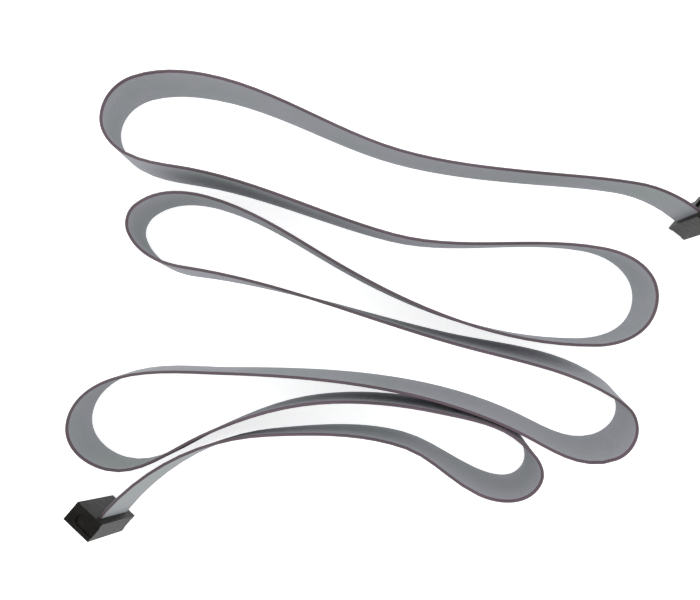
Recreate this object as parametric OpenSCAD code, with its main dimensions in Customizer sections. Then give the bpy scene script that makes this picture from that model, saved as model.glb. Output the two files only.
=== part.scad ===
// Flat ribbon cable with a pressed-on socket at each end, standing on one edge in seven runs.
// Millimetres, +Z up. The surface it stands on is z = 0, and the origin is under the middle of its box.
// Each socket has its own axes: x along the width of the cable, y along the cable, z towards the cover.

/* [Cable] */
// Number of wires side by side
ways = 16; // [10:2:18]
// Distance from one wire to the next
wire_pitch = 1.27; // [1.1:0.01:1.6]
// Thickness of the cable
cable_t = 0.9; // [0.7:0.05:1.1]
// Width across the copper core of a wire
core_d = 0.38; // [0.3:0.01:0.46]
// Play on each side between a core and what surrounds it
core_play = 0.02; // [0.01:0.01:0.04]

/* [Sockets] */
// Width of a socket, along the cable
socket_w = 6; // [5:0.1:7.4]
// Distance between the two rows of contacts
row_gap = 2.54; // [2:0.02:3.1]
// Length of a socket past its outermost wire
socket_end = 2.92; // [2.4:0.01:4]
// Height of a body, from the mating face to the cable
body_h = 6.6; // [5.5:0.1:9]
// Thickness of the cover over the cable
cover_t = 2.1; // [1.7:0.05:3]
// Side of the square entry for a mating pin
pin_hole = 0.8; // [0.7:0.05:1]
// Width across the mouth of an entry
mouth_d = 1.4; // [1.2:0.05:1.7]
// Play between the moulded pieces, and around the contacts
play = 0.05; // [0.03:0.01:0.1]

/* [Latches] */
// Width of the latch arms of a cover
arm_w = 3.4; // [2.6:0.1:4]
// Thickness of the latch arms
arm_t = 0.8; // [0.6:0.05:0.9]
// How far the arms lie in from the ends of the socket
arm_in = 0.6; // [0.3:0.05:0.7]
// Length of the latch arms, below the cable
arm_l = 4; // [3:0.1:5]
// Width of the round dish in an arm's head
dish_d = 2.4; // [1.6:0.1:2.5]
// Depth of the dish
dish_depth = 0.3; // [0.2:0.05:0.4]
// How far a latch hook reaches in
hook_t = 0.4; // [0.2:0.05:0.6]
// Height of a latch hook
hook_h = 0.8; // [0.5:0.05:1.2]

/* [Key] */
// Width of the key rib on a body
key_w = 4.5; // [3:0.1:6]
// Depth of the key rib
key_t = 0.8; // [0.5:0.05:1.2]
// Height of the key rib, from the mating face
key_h = 5; // [3:0.1:5.4]

/* [Contacts] */
// Thickness of the contact strip
contact_t = 0.3; // [0.2:0.02:0.4]
// Height of the fork tips above the cable
tip_h = 0.8; // [0.5:0.05:1.2]
// Depth of the fork slot below the cable
slot_h = 0.5; // [0.3:0.05:0.8]
// Height of the plate between fork and beams
plate_h = 1.2; // [0.8:0.05:1.6]
// Half the width over the two beams
beam_x = 0.8; // [0.7:0.02:0.9]
// Width of a beam
beam_w = 0.3; // [0.2:0.02:0.34]
// Gap between the beams where they grip a pin
grip_gap = 0.5; // [0.4:0.02:0.6]
// Distance from the mating face to the beam ends
beam_back = 0.7; // [0.5:0.05:1]

/* [Lay] */
// Angle at which the cable climbs to each socket
climb = 6; // [3:0.5:10]

/* [Hidden] */
// The line of the bottom wire on the floor, from the free end in socket a to the free end in socket b:
// [x, y, heading, lean]. Heading is the way the line runs there, and lean is how far the top edge tips
// to the left of it, both in degrees.
route = [
    [91, 24, 140, 3], [85, 29, 140, 3], [68, 37, 170, 2], [39, 40, 175, 1], [0, 46, 165, 0],
    [-56, 66, 170, -5], [-76, 66, 195, -3], [-86, 56, 260, 2], [-79, 44, 330, 4], [-60, 39, 350, 5],
    [-2, 22, 346, 0], [58, 19, 350, -3], [72, 11, 305, -2], [73, -1, 245, -2], [56, -9, 180, 2],
    [-19, 14, 150, -1], [-55, 32, 165, -2], [-75, 30, 215, -2], [-78, 22, 290, 2], [-62, 11, 353, 5],
    [15, -7, 347, -6], [45, -13, 345, -12], [63, -21, 325, -12], [69, -30, 270, -6], [61, -39, 195, 10],
    [37, -32, 155, 11], [-51, -18, 180, -1], [-81, -19, 195, 0], [-95, -32, 260, 0], [-84, -46, 345, 3],
    [-56, -37, 25, 5], [-28, -27, 10, 1], [12, -28, 350, -3], [36, -36, 315, -6], [39, -49, 230, 3],
    [24, -49, 155, 11], [2, -38, 165, 3], [-38, -37, 185, -5], [-82, -60, 230, -10], [-87, -66, 230, -10]
];
// Longest stretch and widest turn between two cross-sections of the cable
ring_gap = 45;
ring_turn = 36;
// Bands across each face of the cable, so that it can twist without pinching the wires
bands = 5;

pin_pitch = 2 * wire_pitch;
columns = ways / 2;
half_t = cable_t / 2;
core_span = (ways - 1) * wire_pitch;
cable_half = core_span / 2 + half_t;
socket_half = core_span / 2 + socket_end;
face_z = -half_t - body_h;
arm_x = socket_half - arm_in - arm_t;
recess_x = arm_x - play;
head_z = -half_t - arm_l + arm_w / 2;
fork_half = wire_pitch / 2 - core_play;
fork_slot = core_d / 2 + core_play / 2;
plate_z = -half_t - slot_h - plate_h;
beam_z = face_z + beam_back;
grip_z = beam_z + 0.8;
// How far the beams run straight before they bow in, and how far their ends flare
beam_bow = 0.6;
flare = 0.15;
shoulder_rise = 0.4;
$fn = 32;

// Names of the nodes
function numbered(stem, k) = str(stem, k < 10 ? "_0" : "_", k);

// ---- The route: one smooth curve through its points ----

last = len(route) - 1;
function spot(i) = [route[i][0], route[i][1]];
function heading(i) = [cos(route[i][2]), sin(route[i][2])];
function lean(i) = route[i][3];
function span(i) = norm(spot(i + 1) - spot(i));
function bend(i) = acos(min(1, heading(i) * heading(i + 1)));
// With this pull at both ends, an even bend is very nearly an arc
function pull(i) = span(i) / pow(cos(bend(i) / 4), 2);
function lean_rate(i) = i <= 1 || i >= last - 1 ? 0 : (lean(i + 1) - lean(i - 1)) / (span(i - 1) + span(i));
// [x, y, lean] at a fraction f of the way from point i to the next
function between(i, f) =
    let(
        a = f * f * (3 - 2 * f),
        b = f * (1 - f) * (1 - f),
        c = f * f * (1 - f),
        xy = spot(i) * (1 - a) + spot(i + 1) * a + (heading(i) * b - heading(i + 1) * c) * pull(i),
        tip = lean(i) * (1 - a) + lean(i + 1) * a + (lean_rate(i) * b - lean_rate(i + 1) * c) * span(i)
    )
    [xy[0], xy[1], tip];
function pieces(i) = i == 0 || i == last - 1 ? 1 : ceil(max(span(i) / ring_gap, bend(i) / ring_turn));
line = [
    for (i = [0:last - 1]) let(count = pieces(i)) each [for (j = [0:count - 1]) between(i, j / count)],
    between(last - 1, 1)
];
function flat(v) = [v[0], v[1]];
function unit(v) = v / norm(v);
end_ring = len(line) - 1;

// ---- The climb to the sockets, which are longer than the cable is wide ----

// Distance along the cable from its free end in socket a to each ring
walked = [
    for (r = 0, s = 0; r <= end_ring; s = s + (r < end_ring ? norm(flat(line[r + 1] - line[r])) : 0), r = r + 1) s
];
// How far the lowest corner of a socket lies under the bottom wire, for a lean of the socket
function corner_drop(lean) =
    let(side = sin(lean) * cos(climb))
    socket_end * cos(lean) * cos(climb) + socket_w / 2 * sin(climb)
        + max(side * (half_t + cover_t), -side * (half_t + body_h));
function lift(away, lead, lean) =
    let(
        at_socket = corner_drop(lean) - half_t,
        at_lead = at_socket - (lead - socket_w / 2) * tan(climb),
        run = 2 * at_lead / tan(climb)
    )
    away <= lead ? at_socket + (socket_w / 2 - away) * tan(climb) :
    at_lead * pow(max(0, 1 - (away - lead) / run), 2);
function height(r) =
    half_t
        + lift(walked[r], span(0), lean(0))
        + lift(walked[end_ring] - walked[r], span(last - 1), lean(last));
spots = [for (r = [0:end_ring]) [line[r][0], line[r][1], height(r)]];

// ---- Axes at each ring: along the cable, across its face, up its width ----

function leg(r) = unit(spots[r + 1] - spots[r]);
function along(r) =
    r <= 1 ? leg(0) :
    r >= end_ring - 1 ? leg(end_ring - 1) :
    unit(leg(r - 1) + leg(r));
function upright(t) = unit([0, 0, 1] - t * t[2]);
axes = [
    for (r = [0:end_ring])
        let(t = along(r), b = upright(t), l = cross(b, t), a = line[r][2])
        [t, l * cos(a) - b * sin(a), b * cos(a) + l * sin(a)]
];
// A section point [across, up] at ring r
function placed(r, p) = spots[r] + axes[r][1] * p[0] + axes[r][2] * p[1];

// ---- Cross-sections: points counted round, seen against the direction of the route ----

// Points of half a round edge, from one angle to the next
function edge(h, from) = [for (a = [from:45:from + 180]) half_t * [cos(a), sin(a)] + [0, h]];
outline = concat(
    edge(0, -180),
    [for (j = [1:bands - 1]) [half_t, core_span * j / bands]],
    edge(core_span, 0),
    [for (j = [bands - 1:-1:1]) [-half_t, core_span * j / bands]]
);
function diamond(h, r) = [[0, h - r], [r, h], [0, h + r], [-r, h]];
function wire_h(k) = (ways - k) * wire_pitch;

// Side faces between rings of `size` points, of which `count` points from `first` form one loop.
// A bore and its wire are split along the same diagonals, so that they stay clear of each other.
function skin(size, first, count, outside) = [
    for (r = [0:end_ring - 1], j = [0:count - 1])
        let(a = r * size + first + j, b = r * size + first + (j + 1) % count)
        each outside ? [[a, a + size, b + size], [a, b + size, b]] : [[a, b, b + size], [a, b + size, a + size]]
];
function backwards(v) = [for (i = [len(v) - 1:-1:0]) v[i]];

// The insulation's rings hold the outline and then each bore, from the bottom wire up
edge_points = len(outline);
half_way = edge_points / 2;
ring_size = edge_points + 4 * ways;
bore_r = core_d / 2 + core_play;
section = concat(outline, [for (k = [ways:-1:1]) each diamond(wire_h(k), bore_r)]);
function bore(k, j) = edge_points + 4 * k + j;
// An end face is cut into convex pieces. `side` is 1 for its right half and 3 for its left one,
// which is also where the bore's outermost point comes in its diamond.
function rim(side, j) = side == 1 ? 4 + j : (edge_points - j) % edge_points;
function band_wire(j) = floor(j * (ways - 1) / bands);
function half_face(side) = concat(
    // Below the lowest bore, and above the highest one
    [side == 1 ? [bore(0, 0), 2, 3, 4, bore(0, 1)] : [bore(0, 0), bore(0, 3), 0, 1, 2]],
    [
        side == 1
            ? [bore(ways - 1, 2), bore(ways - 1, 1), half_way, half_way + 1, half_way + 2]
            : [bore(ways - 1, 2), half_way + 2, half_way + 3, half_way + 4, bore(ways - 1, 3)]
    ],
    // Between neighbouring bores
    [
        for (k = [0:ways - 2])
            let(piece = [bore(k, side), bore(k + 1, side), bore(k + 1, 0), bore(k, 2)])
            side == 1 ? piece : backwards(piece)
    ],
    // Between the bores and the face of the cable
    [
        for (j = [0:bands - 1])
            let(
                wires = [for (k = [band_wire(j + 1):-1:band_wire(j)]) bore(k, side)],
                piece = concat([rim(side, j), rim(side, j + 1)], wires)
            )
            side == 1 ? piece : concat([piece[0]], backwards([for (i = [1:len(piece) - 1]) piece[i]]))
    ]
);
end_face = concat(half_face(1), half_face(3));
function shifted(v, by) = [for (i = v) i + by];

// ---- Parts of the cable ----

module insulation_sweep() {
    far = end_ring * ring_size;
    polyhedron(
        points = [for (r = [0:end_ring]) each [for (p = section) placed(r, p)]],
        faces = concat(
            skin(ring_size, 0, edge_points, true),
            [for (k = [0:ways - 1]) each skin(ring_size, edge_points + 4 * k, 4, false)],
            end_face,
            [for (f = end_face) let(g = shifted(f, far)) concat([g[0]], backwards([for (i = [1:len(g) - 1]) g[i]]))]
        )
    );
}

module insulation() {
    color("silver")
    difference() {
        insulation_sweep();
        in_socket_a() fork_slits();
        in_socket_b() fork_slits();
    }
}

module conductor(k) {
    far = end_ring * 4;
    color("peru")
    polyhedron(
        points = [for (r = [0:end_ring]) each [for (p = diamond(wire_h(k), core_d / 2)) placed(r, p)]],
        faces = concat(skin(4, 0, 4, true), [[0, 1, 2, 3], [far + 3, far + 2, far + 1, far]])
    );
}

// ---- Places in a socket ----

module in_socket(r, towards) {
    t = axes[r][0];
    n = axes[r][1];
    u = axes[r][2];
    o = spots[r] + t * towards * socket_w / 2 + u * core_span / 2;
    multmatrix([[u[0], t[0], n[0], o[0]], [u[1], t[1], n[1], o[1]], [u[2], t[2], n[2], o[2]]]) children();
}

module in_socket_a() { in_socket(0, 1) children(); }
module in_socket_b() { in_socket(end_ring, -1) children(); }

function wire_x(k) = wire_h(k) - core_span / 2;
function column_x(k) = wire_x(2 * ceil(k / 2) - 1) - wire_pitch / 2;
function row_y(k) = k % 2 == 1 ? row_gap / 2 : -row_gap / 2;

// A box over an x range and a z range, centred on a row
module slab(x0, x1, z0, z1, t) {
    translate([x0, -t / 2, z0]) cube([x1 - x0, t, z1 - z0]);
}

module fork_slits() {
    for (k = [1:ways])
        translate([wire_x(k), row_y(k), 0])
            slab(-fork_half - core_play / 2, fork_half + core_play / 2, -cable_t, cable_t, contact_t + core_play);
}

// ---- Contacts: a fork that bites one wire, and two beams that grip a pin ----

// Right half of the beams, from the foot of the plate down and back up
function beam_line() =
    let(grip_x = grip_gap / 2, bow_z = plate_z - beam_bow)
    [
        [beam_x - beam_w, plate_z], [beam_x - beam_w, bow_z], [grip_x, grip_z], [grip_x + flare, beam_z],
        [grip_x + beam_w + flare, beam_z], [grip_x + beam_w, grip_z], [beam_x, bow_z]
    ];
function mirrored(v) = [for (p = backwards(v)) [-p[0], p[1]]];
// The fork stands to the right of the middle, over its wire
function fork_line() =
    let(x = wire_pitch / 2, top = plate_z + plate_h, tip = half_t + tip_h, bevel = half_t + tip_h / 2)
    [
        [beam_x, plate_z], [x + fork_half, plate_z + shoulder_rise], [x + fork_half, bevel], [x + fork_slot, tip],
        [x + fork_slot, top], [x - fork_slot, top], [x - fork_slot, tip], [x - fork_half, bevel],
        [x - fork_half, top], [-beam_x, top]
    ];

module contact(k) {
    side = k % 2 == 1 ? 0 : 1;
    color("goldenrod")
    translate([column_x(k), row_y(k) + contact_t / 2, 0])
    rotate([90, 0, 0])
    linear_extrude(contact_t)
    mirror([side, 0])
    polygon(concat(mirrored(beam_line()), beam_line(), fork_line()));
}

// ---- Body and cover ----

module contact_cavity(k) {
    fork_x = wire_x(k) - column_x(k);
    low = min(-beam_x, fork_x - fork_half) - play;
    high = max(beam_x, fork_x + fork_half) + play;
    translate([column_x(k), row_y(k), 0]) {
        slab(low, high, beam_z - play, half_t + 1, contact_t + 2 * play);
        slab(-pin_hole / 2, pin_hole / 2, face_z - 1, plate_z - play, pin_hole);
        translate([0, 0, face_z - 0.01]) cylinder(d1 = mouth_d, d2 = pin_hole, h = (mouth_d - pin_hole) / 2);
    }
}

// The outline of a latch arm up to height `top`, seen from the end of a socket
module tongue(grow, top) {
    translate([0, head_z]) circle(d = arm_w + 2 * grow);
    translate([-arm_w / 2 - grow, head_z]) square([arm_w + 2 * grow, top - head_z]);
}

module standing_on_end(side, x, t) {
    translate([side * x, 0, 0])
    rotate([0, 0, side * 90])
    rotate([90, 0, 0])
    linear_extrude(t)
    children();
}

// The hook on the inner side of an arm's head, or the pocket for it
module hook(side, grow) {
    translate([side * arm_x, 0, head_z + hook_h / 2])
        cube([2 * (hook_t + grow), arm_w + 2 * grow, hook_h + 2 * grow], center = true);
}

module dish(side) {
    ball_r = (pow(dish_d / 2, 2) + pow(dish_depth, 2)) / (2 * dish_depth);
    translate([side * (arm_x + arm_t + ball_r - dish_depth), 0, head_z]) sphere(ball_r);
}

module socket_body() {
    post_x = cable_half + play;
    difference() {
        union() {
            translate([-socket_half, -socket_w / 2, face_z]) cube([2 * socket_half, socket_w, body_h]);
            for (side = [-1, 1])
                translate([side < 0 ? -socket_half : post_x, -socket_w / 2, -half_t - 0.01])
                    cube([socket_half - post_x, socket_w, cable_t + 0.01]);
            translate([-key_w / 2, socket_w / 2 - 0.01, face_z]) cube([key_w, key_t + 0.01, key_h]);
        }
        for (k = [1:ways]) contact_cavity(k);
        for (side = [-1, 1]) {
            standing_on_end(side, recess_x, arm_in + arm_t + 1) tongue(play, half_t + 1);
            hook(side, play);
        }
    }
}

// A slab over the cable, notched at its ends above the arms
module socket_cover() {
    difference() {
        union() {
            translate([-socket_half, -socket_w / 2, half_t]) cube([2 * socket_half, socket_w, cover_t]);
            for (side = [-1, 1]) {
                standing_on_end(side, arm_x, arm_t) tongue(0, half_t + 0.01);
                hook(side, 0);
            }
        }
        for (side = [-1, 1]) {
            translate([side * socket_half, 0, half_t])
                cube([2 * arm_in, arm_w + 2 * play, 2 * cover_t + 1], center = true);
            dish(side);
        }
        for (k = [1:ways])
            translate([wire_x(k), row_y(k), 0])
                slab(-fork_half - play, fork_half + play, 0, half_t + tip_h + play, contact_t + 2 * play);
    }
}

module socket_a_body() { color("dimgray") in_socket_a() socket_body(); }
module socket_a_cover() { color("gray") in_socket_a() socket_cover(); }
module socket_b_body() { color("dimgray") in_socket_b() socket_body(); }
module socket_b_cover() { color("gray") in_socket_b() socket_cover(); }

insulation();
socket_a_body();
socket_a_cover();
socket_b_body();
socket_b_cover();
for (k = [1:ways]) {
    conductor(k);
    in_socket_a() contact(k);
    in_socket_b() contact(k);
}
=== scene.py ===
# Ribbon cable on its edge, with a socket at each end. Metres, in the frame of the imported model.
import math

import bpy
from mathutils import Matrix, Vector


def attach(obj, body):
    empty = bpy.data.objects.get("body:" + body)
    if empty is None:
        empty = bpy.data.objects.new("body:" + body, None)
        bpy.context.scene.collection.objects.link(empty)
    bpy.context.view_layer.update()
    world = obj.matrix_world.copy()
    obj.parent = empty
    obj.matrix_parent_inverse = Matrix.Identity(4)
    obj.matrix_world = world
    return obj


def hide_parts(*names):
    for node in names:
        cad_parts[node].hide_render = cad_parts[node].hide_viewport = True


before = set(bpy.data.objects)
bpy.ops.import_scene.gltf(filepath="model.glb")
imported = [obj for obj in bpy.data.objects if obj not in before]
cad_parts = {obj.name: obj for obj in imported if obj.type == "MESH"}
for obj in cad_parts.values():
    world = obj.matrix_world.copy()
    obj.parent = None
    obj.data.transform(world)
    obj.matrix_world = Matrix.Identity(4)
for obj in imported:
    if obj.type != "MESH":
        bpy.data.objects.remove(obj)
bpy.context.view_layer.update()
MM = 0.001

# ---- Sizes, which are those of the CAD part ----

WAYS = 16
PITCH = 1.27 * MM
THICKNESS = 0.9 * MM
HALF_T = THICKNESS / 2
CORE_SPAN = (WAYS - 1) * PITCH
# Half the thickness of the web between two wires
WEB = 0.3 * MM
SOCKET_W = 6 * MM
SOCKET_END = 2.92 * MM
BODY_H = 6.6 * MM
COVER_T = 2.1 * MM
CLIMB = math.radians(6)

# The line of the bottom wire on the floor: [x, y, heading, lean], in metres and degrees
ROUTE = [
    [0.091, 0.024, 140, 3], [0.085, 0.029, 140, 3], [0.068, 0.037, 170, 2], [0.039, 0.040, 175, 1],
    [0.000, 0.046, 165, 0], [-0.056, 0.066, 170, -5], [-0.076, 0.066, 195, -3], [-0.086, 0.056, 260, 2],
    [-0.079, 0.044, 330, 4], [-0.060, 0.039, 350, 5], [-0.002, 0.022, 346, 0], [0.058, 0.019, 350, -3],
    [0.072, 0.011, 305, -2], [0.073, -0.001, 245, -2], [0.056, -0.009, 180, 2], [-0.019, 0.014, 150, -1],
    [-0.055, 0.032, 165, -2], [-0.075, 0.030, 215, -2], [-0.078, 0.022, 290, 2], [-0.062, 0.011, 353, 5],
    [0.015, -0.007, 347, -6], [0.045, -0.013, 345, -12], [0.063, -0.021, 325, -12], [0.069, -0.030, 270, -6],
    [0.061, -0.039, 195, 10], [0.037, -0.032, 155, 11], [-0.051, -0.018, 180, -1], [-0.081, -0.019, 195, 0],
    [-0.095, -0.032, 260, 0], [-0.084, -0.046, 345, 3], [-0.056, -0.037, 25, 5], [-0.028, -0.027, 10, 1],
    [0.012, -0.028, 350, -3], [0.036, -0.036, 315, -6], [0.039, -0.049, 230, 3], [0.024, -0.049, 155, 11],
    [0.002, -0.038, 165, 3], [-0.038, -0.037, 185, -5], [-0.082, -0.060, 230, -10],
    [-0.087, -0.066, 230, -10],
]
LAST = len(ROUTE) - 1
# Longest distance and widest turn between two rings of the shown cable
RING_GAP = 5 * MM
RING_TURN = math.radians(5)

# ---- Camera: straight down over the lay ----

CAMERA_AT = (-14 * MM, 3 * MM, 224 * MM)
IMAGE_W = 700
FOCAL_PX = 717
SENSOR = 36


def make_camera():
    data = bpy.data.cameras.new("camera")
    data.sensor_width = SENSOR
    data.lens = SENSOR * FOCAL_PX / IMAGE_W
    data.clip_start = 0.01
    data.shift_x = -1 / IMAGE_W
    data.shift_y = 1 / IMAGE_W
    camera = bpy.data.objects.new("camera", data)
    camera.location = CAMERA_AT
    bpy.context.collection.objects.link(camera)
    bpy.context.scene.camera = camera


make_camera()

# ---- The route, as in the CAD part ----


def spot(i):
    return Vector((ROUTE[i][0], ROUTE[i][1], 0))


def heading(i):
    a = math.radians(ROUTE[i][2])
    return Vector((math.cos(a), math.sin(a), 0))


def span(i):
    return (spot(i + 1) - spot(i)).length


def pull(i):
    bend = math.acos(min(1, heading(i).dot(heading(i + 1))))
    return span(i) / math.cos(bend / 4) ** 2


def lean_rate(i):
    if i <= 1 or i >= LAST - 1:
        return 0
    return (ROUTE[i + 1][3] - ROUTE[i - 1][3]) / (span(i - 1) + span(i))


def between(i, f):
    """The place on the floor and the lean, a fraction f of the way from point i to the next."""
    a = f * f * (3 - 2 * f)
    b = f * (1 - f) ** 2
    c = f * f * (1 - f)
    place = spot(i) * (1 - a) + spot(i + 1) * a + (heading(i) * b - heading(i + 1) * c) * pull(i)
    lean = ROUTE[i][3] * (1 - a) + ROUTE[i + 1][3] * a
    lean += (lean_rate(i) * b - lean_rate(i + 1) * c) * span(i)
    return place, math.radians(lean)


def corner_drop(lean):
    """How far a socket's lowest corner lies under the bottom wire."""
    side = math.sin(lean) * math.cos(CLIMB)
    along = SOCKET_END * math.cos(lean) * math.cos(CLIMB) + SOCKET_W / 2 * math.sin(CLIMB)
    return along + max(side * (HALF_T + COVER_T), -side * (HALF_T + BODY_H))


def lift(away, lead, lean):
    slope = math.tan(CLIMB)
    at_socket = corner_drop(lean) - HALF_T
    at_lead = at_socket - (lead - SOCKET_W / 2) * slope
    if away <= lead:
        return at_socket + (SOCKET_W / 2 - away) * slope
    return at_lead * max(0, 1 - (away - lead) / (2 * at_lead / slope)) ** 2


def make_rings():
    """Place, direction, across and up for each ring, and the distance along the cable to it."""
    flat = []
    for i in range(LAST):
        turn = math.acos(min(1, heading(i).dot(heading(i + 1))))
        steps = math.ceil(max(span(i) / RING_GAP, turn / RING_TURN))
        flat += [between(i, j / steps) for j in range(steps)]
    flat.append(between(LAST - 1, 1))
    walked = [0.0]
    for (p, _), (q, _) in zip(flat, flat[1:]):
        walked.append(walked[-1] + (q - p).length)
    total = walked[-1]
    lean_a, lean_b = math.radians(ROUTE[0][3]), math.radians(ROUTE[LAST][3])
    places = []
    for (p, _), s in zip(flat, walked):
        height = HALF_T + lift(s, span(0), lean_a) + lift(total - s, span(LAST - 1), lean_b)
        places.append(p + Vector((0, 0, height)))
    rings = []
    for r, p in enumerate(places):
        before, after = places[max(0, r - 1)], places[min(len(places) - 1, r + 1)]
        along = (after - before).normalized()
        up = (Vector((0, 0, 1)) - along * along.z).normalized()
        left = up.cross(along)
        lean = flat[r][1]
        across = left * math.cos(lean) - up * math.sin(lean)
        rings.append((p, along, across, up * math.cos(lean) + left * math.sin(lean)))
    return rings, walked


RINGS, WALKED = make_rings()

# ---- Materials ----


def new_material(name):
    material = bpy.data.materials.new(name)
    material.use_nodes = True
    nodes = material.node_tree.nodes
    return material, nodes, material.node_tree.links, nodes["Principled BSDF"]


def noise(nodes, links, coords, scale, detail=3, roughness=0.5):
    n = nodes.new("ShaderNodeTexNoise")
    n.inputs["Scale"].default_value = scale
    n.inputs["Detail"].default_value = detail
    n.inputs["Roughness"].default_value = roughness
    links.new(coords, n.inputs["Vector"])
    return n.outputs["Fac"]


def ramp(nodes, links, value, stops):
    """A colour ramp: stops are (position, (red, green, blue))."""
    n = nodes.new("ShaderNodeValToRGB")
    while len(n.color_ramp.elements) < len(stops):
        n.color_ramp.elements.new(0.5)
    for element, (position, colour) in zip(n.color_ramp.elements, stops):
        element.position = position
        element.color = (*colour, 1)
    links.new(value, n.inputs["Fac"])
    return n.outputs["Color"]


def mixed(nodes, links, kind, factor, a, b):
    n = nodes.new("ShaderNodeMix")
    n.data_type = "RGBA"
    n.blend_type = kind
    n.inputs["Factor"].default_value = factor
    links.new(a, n.inputs[6])
    links.new(b, n.inputs[7])
    return n.outputs[2]


def rough_between(nodes, links, value, low, high, shader):
    n = nodes.new("ShaderNodeMapRange")
    n.inputs["To Min"].default_value = low
    n.inputs["To Max"].default_value = high
    links.new(value, n.inputs["Value"])
    links.new(n.outputs["Result"], shader.inputs["Roughness"])


def bump(nodes, links, shader, value, strength, distance):
    n = nodes.new("ShaderNodeBump")
    n.inputs["Strength"].default_value = strength
    n.inputs["Distance"].default_value = distance
    links.new(value, n.inputs["Height"])
    links.new(n.outputs["Normal"], shader.inputs["Normal"])


def vinyl(name, stops, roughness, specular):
    """Soft extruded vinyl: cloudy colour and a fine grain."""
    material, nodes, links, shader = new_material(name)
    coords = nodes.new("ShaderNodeTexCoord").outputs["Object"]
    cloud = noise(nodes, links, coords, 38, 4)
    grain = noise(nodes, links, coords, 2600, 2)
    base = ramp(nodes, links, cloud, stops)
    speck = ramp(nodes, links, grain, [(0.3, (0.9, 0.9, 0.9)), (0.7, (1, 1, 1))])
    links.new(mixed(nodes, links, "MULTIPLY", 0.6, base, speck), shader.inputs["Base Color"])
    rough_between(nodes, links, cloud, roughness - 0.06, roughness + 0.08, shader)
    bump(nodes, links, shader, grain, 0.12, 0.00004)
    shader.inputs["Specular IOR Level"].default_value = specular
    return material


def moulded(name, dark, light, roughness):
    """Moulded plastic: mottled colour and a slightly uneven surface."""
    material, nodes, links, shader = new_material(name)
    coords = nodes.new("ShaderNodeTexCoord").outputs["Object"]
    flow = noise(nodes, links, coords, 420, 5, 0.65)
    grain = noise(nodes, links, coords, 5200, 2)
    base = ramp(nodes, links, flow, [(0.35, dark), (0.7, light)])
    speck = ramp(nodes, links, grain, [(0.35, (0.75, 0.75, 0.75)), (0.7, (1, 1, 1))])
    links.new(mixed(nodes, links, "MULTIPLY", 0.5, base, speck), shader.inputs["Base Color"])
    rough_between(nodes, links, grain, roughness - 0.08, roughness + 0.12, shader)
    bump(nodes, links, shader, flow, 0.6, 0.0003)
    shader.inputs["Specular IOR Level"].default_value = 0.1
    return material


def metal(name, colour, shade, roughness, scale):
    material, nodes, links, shader = new_material(name)
    coords = nodes.new("ShaderNodeTexCoord").outputs["Object"]
    tarnish = noise(nodes, links, coords, scale, 4)
    links.new(ramp(nodes, links, tarnish, [(0.3, shade), (0.7, colour)]), shader.inputs["Base Color"])
    rough_between(nodes, links, tarnish, roughness - 0.08, roughness + 0.1, shader)
    bump(nodes, links, shader, tarnish, 0.1, 0.00002)
    shader.inputs["Metallic"].default_value = 1
    return material


GREY = vinyl("grey_vinyl", [(0.3, (0.32, 0.345, 0.345)), (0.7, (0.37, 0.37, 0.405))], 0.66, 0.02)
RED = vinyl("marked_wire", [(0.3, (0.2, 0.1, 0.155)), (0.7, (0.25, 0.135, 0.205))], 0.5, 0.15)
# The bare top edge of the marked wire, coloured near black as painted shade on its upward-facing edge
SHADE_DARKENED_CROWN = vinyl("painted_shade_crown", [(0.3, (0.06, 0.04, 0.05)), (0.7, (0.115, 0.077, 0.1))], 0.3, 0.5)
SOCKET = moulded("socket_plastic", (0.005, 0.0047, 0.004), (0.015, 0.0135, 0.0105), 0.42)
PLATED = metal("plated_strip", (0.86, 0.78, 0.58), (0.62, 0.55, 0.4), 0.3, 900)
COPPER = metal("copper_core", (0.8, 0.42, 0.25), (0.5, 0.24, 0.14), 0.35, 1200)

# ---- The insulation: sixteen joined round wires, swept along the route ----

# Distances from a wire's centre at which its round skin is sampled, up to halfway to the next wire
LOBE = (-0.4 * MM, -0.22 * MM, 0, 0.22 * MM, 0.4 * MM, PITCH / 2)
EDGE_STEPS = 8


def skin(distance):
    return max(WEB, math.sqrt(max(0, HALF_T ** 2 - distance ** 2)))


def ribbed_outline():
    """Points (across, up, wire) against the clock round the cable, seen from its far end.

    The crown, its top edge, counts as wire 0.
    """
    up_one_side = []
    for k in range(WAYS):
        for d in LOBE:
            h = k * PITCH + d
            if 0 < h < CORE_SPAN:
                up_one_side.append((skin(d), h, WAYS - k if d < PITCH / 2 else WAYS - k - 1))
    points = []
    for j in range(EDGE_STEPS + 1):
        a = math.pi * (j / EDGE_STEPS - 1)
        points.append((HALF_T * math.cos(a), HALF_T * math.sin(a), WAYS))
    points += up_one_side
    for j in range(EDGE_STEPS + 1):
        a = math.pi * j / EDGE_STEPS
        points.append((HALF_T * math.cos(a), CORE_SPAN + HALF_T * math.sin(a), 0))
    points += [(-x, h, wire) for x, h, wire in reversed(up_one_side)]
    return points


# Material slots of the marked wire and of the crown, whose near-black colour is painted shade; all other
# wires have the first slot
SLOT_OF = {1: 1, 0: 2}


def swept(name, outline, rings, materials):
    """A closed mesh through rings of points (across, up, wire), with its material slot by wire."""
    size = len(outline)
    vertices = [p + n * x + u * h for p, t, n, u in rings for x, h, wire in outline]
    faces = []
    slots = []
    for r in range(len(rings) - 1):
        for j in range(size):
            k = (j + 1) % size
            faces.append((r * size + j, (r + 1) * size + j, (r + 1) * size + k, r * size + k))
            slots.append(SLOT_OF.get(max(outline[j][2], outline[k][2]), 0))
    faces.append(tuple(range(size)))
    faces.append(tuple(reversed(range((len(rings) - 1) * size, len(rings) * size))))
    slots += [0, 0]
    mesh = bpy.data.meshes.new(name)
    mesh.from_pydata(vertices, [], faces)
    for material in materials:
        mesh.materials.append(material)
    for polygon, slot in zip(mesh.polygons, slots):
        polygon.material_index = slot
        polygon.use_smooth = len(polygon.vertices) == 4
    mesh.update()
    piece = bpy.data.objects.new(name, mesh)
    bpy.context.collection.objects.link(piece)
    return piece


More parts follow.
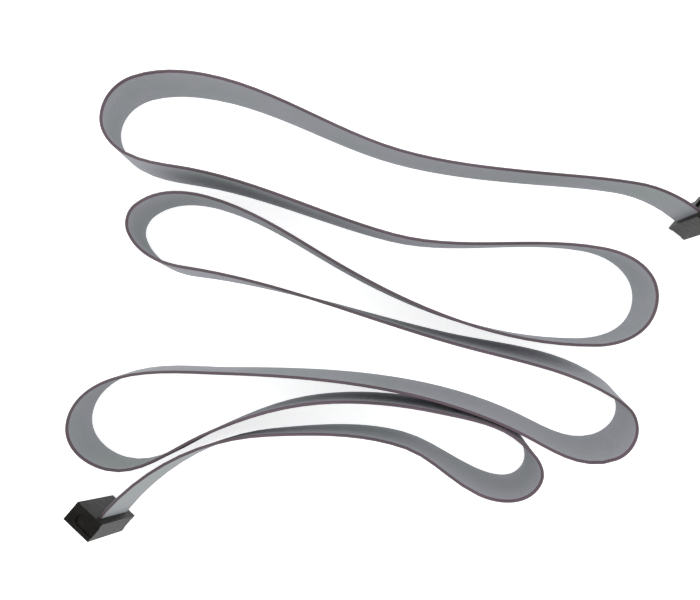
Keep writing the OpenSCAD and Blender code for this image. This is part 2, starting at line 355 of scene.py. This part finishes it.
cable = swept("ribbon", ribbed_outline(), RINGS, (GREY, RED, SHADE_DARKENED_CROWN))
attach(cable, "root")
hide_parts("insulation")

# ---- The copper cores, which show only where the cable is cut off flush with a socket ----

CORE_R = 0.19 * MM
CORE_SIDES = 8
# How far a cut core stands out of the insulation
CORE_PROUD = 0.03 * MM


def core_rings():
    rings = list(RINGS)
    p, t, n, u = rings[0]
    rings[0] = (p - t * CORE_PROUD, t, n, u)
    p, t, n, u = rings[-1]
    rings[-1] = (p + t * CORE_PROUD, t, n, u)
    return rings


def core(k):
    centre = (WAYS - k) * PITCH
    turns = [2 * math.pi * j / CORE_SIDES for j in range(CORE_SIDES)]
    outline = [(CORE_R * math.cos(a), centre + CORE_R * math.sin(a), WAYS) for a in turns]
    piece = swept(f"core_{k:02d}", outline, core_rings(), (COPPER,))
    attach(piece, "root")
    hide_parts(f"conductor_{k:02d}")


for k in range(1, WAYS + 1):
    core(k)

# ---- Sockets and contacts keep their CAD meshes ----


def dress(name, material, bevel_width):
    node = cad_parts[name]
    node.data.materials.clear()
    node.data.materials.append(material)
    if bevel_width:
        bevel = node.modifiers.new("soft_edges", "BEVEL")
        bevel.width = bevel_width
        bevel.segments = 2
        bevel.limit_method = "ANGLE"
        bevel.angle_limit = math.radians(40)
        bevel.use_clamp_overlap = True


for side in "ab":
    dress(f"socket_{side}_body", SOCKET, 0.12 * MM)
    dress(f"socket_{side}_cover", SOCKET, 0.15 * MM)
    for k in range(1, WAYS + 1):
        dress(f"contact_{side}_{k:02d}", PLATED, 0)

# ---- Floor and light ----


# The floor gives off a little light of its own, which reaches the cable from below
FLOOR_GLOW = 0.65
FLOOR_SIDE = 4


def make_floor():
    mesh = bpy.data.meshes.new("floor")
    half = FLOOR_SIDE / 2
    corners_of_floor = [(-half, -half, 0), (half, -half, 0), (half, half, 0), (-half, half, 0)]
    mesh.from_pydata(corners_of_floor, [], [(0, 1, 2, 3)])
    floor = bpy.data.objects.new("floor", mesh)
    bpy.context.collection.objects.link(floor)
    material, nodes, links, shader = new_material("floor_paper")
    coords = nodes.new("ShaderNodeTexCoord").outputs["Object"]
    tone = noise(nodes, links, coords, 6, 2)
    paper = ramp(nodes, links, tone, [(0.3, (0.86, 0.86, 0.87)), (0.7, (0.9, 0.9, 0.9))])
    links.new(paper, shader.inputs["Base Color"])
    shader.inputs["Roughness"].default_value = 0.9
    shader.inputs["Emission Color"].default_value = (1, 1, 1, 1)
    shader.inputs["Emission Strength"].default_value = FLOOR_GLOW
    mesh.materials.append(material)


def area_light(name, place, size, power):
    data = bpy.data.lights.new(name, "AREA")
    data.size = size
    data.energy = power
    light = bpy.data.objects.new(name, data)
    light.location = place
    light.rotation_euler = (-Vector(place)).to_track_quat("-Z", "Y").to_euler()
    bpy.context.collection.objects.link(light)


# Name, place, size in metres and power in watts
LIGHTS = (
    ("key", (-0.25, 0.35, 0.6), 0.5, 0.7),
    ("fill", (0.5, -0.3, 0.55), 0.6, 0.4),
)
# Strength of the white surround
SURROUND = 1

make_floor()
for light in LIGHTS:
    area_light(*light)
world = bpy.data.worlds.new("studio")
world.use_nodes = True
world.node_tree.nodes["Background"].inputs["Color"].default_value = (1, 1, 1, 1)
world.node_tree.nodes["Background"].inputs["Strength"].default_value = SURROUND
bpy.context.scene.world = world
# Plain tones, so that black plastic stays black beside the white floor
bpy.context.scene.view_settings.view_transform = "Standard"
